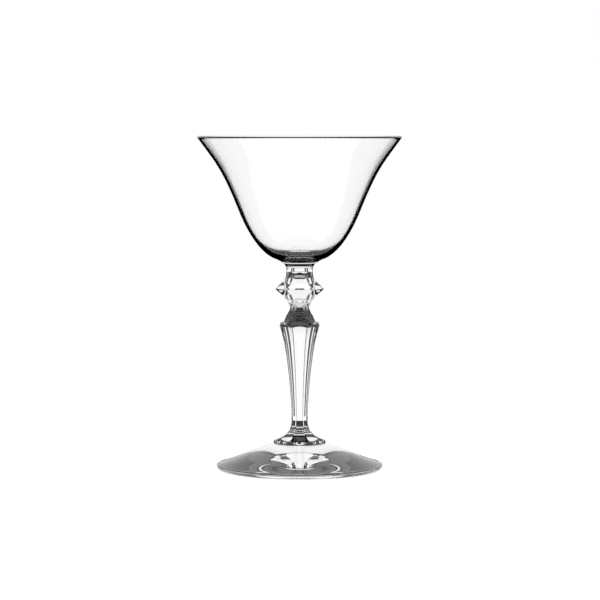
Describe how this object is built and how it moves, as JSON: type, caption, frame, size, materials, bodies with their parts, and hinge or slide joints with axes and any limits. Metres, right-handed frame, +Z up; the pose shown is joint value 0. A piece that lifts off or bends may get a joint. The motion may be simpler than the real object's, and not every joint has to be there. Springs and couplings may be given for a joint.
{
  "type": "nick and nora glass",
  "caption": "Clear stem glass with a thin flared bowl on a round collar, a cut panelled knop, a tapered panelled stem with a flared boot and a broad sloping foot.",
  "frame": {"origin": "centre of the ring that the foot stands on", "axes": "+Z up along the axis of the glass; one panel of the stem faces -Y"},
  "size_m": [0.093, 0.093, 0.1518],
  "materials": {
    "bowl_glass": "clear blown glass, fire polished",
    "cut_glass": "clear pressed glass with polished flat panels",
    "foot_glass": "clear pressed glass, fire polished"
  },
  "bodies": {
    "root": {"foot": "foot_glass", "stem": "cut_glass", "knop": "cut_glass", "collar": "bowl_glass", "bowl": "bowl_glass"}
  },
  "joints": []
}
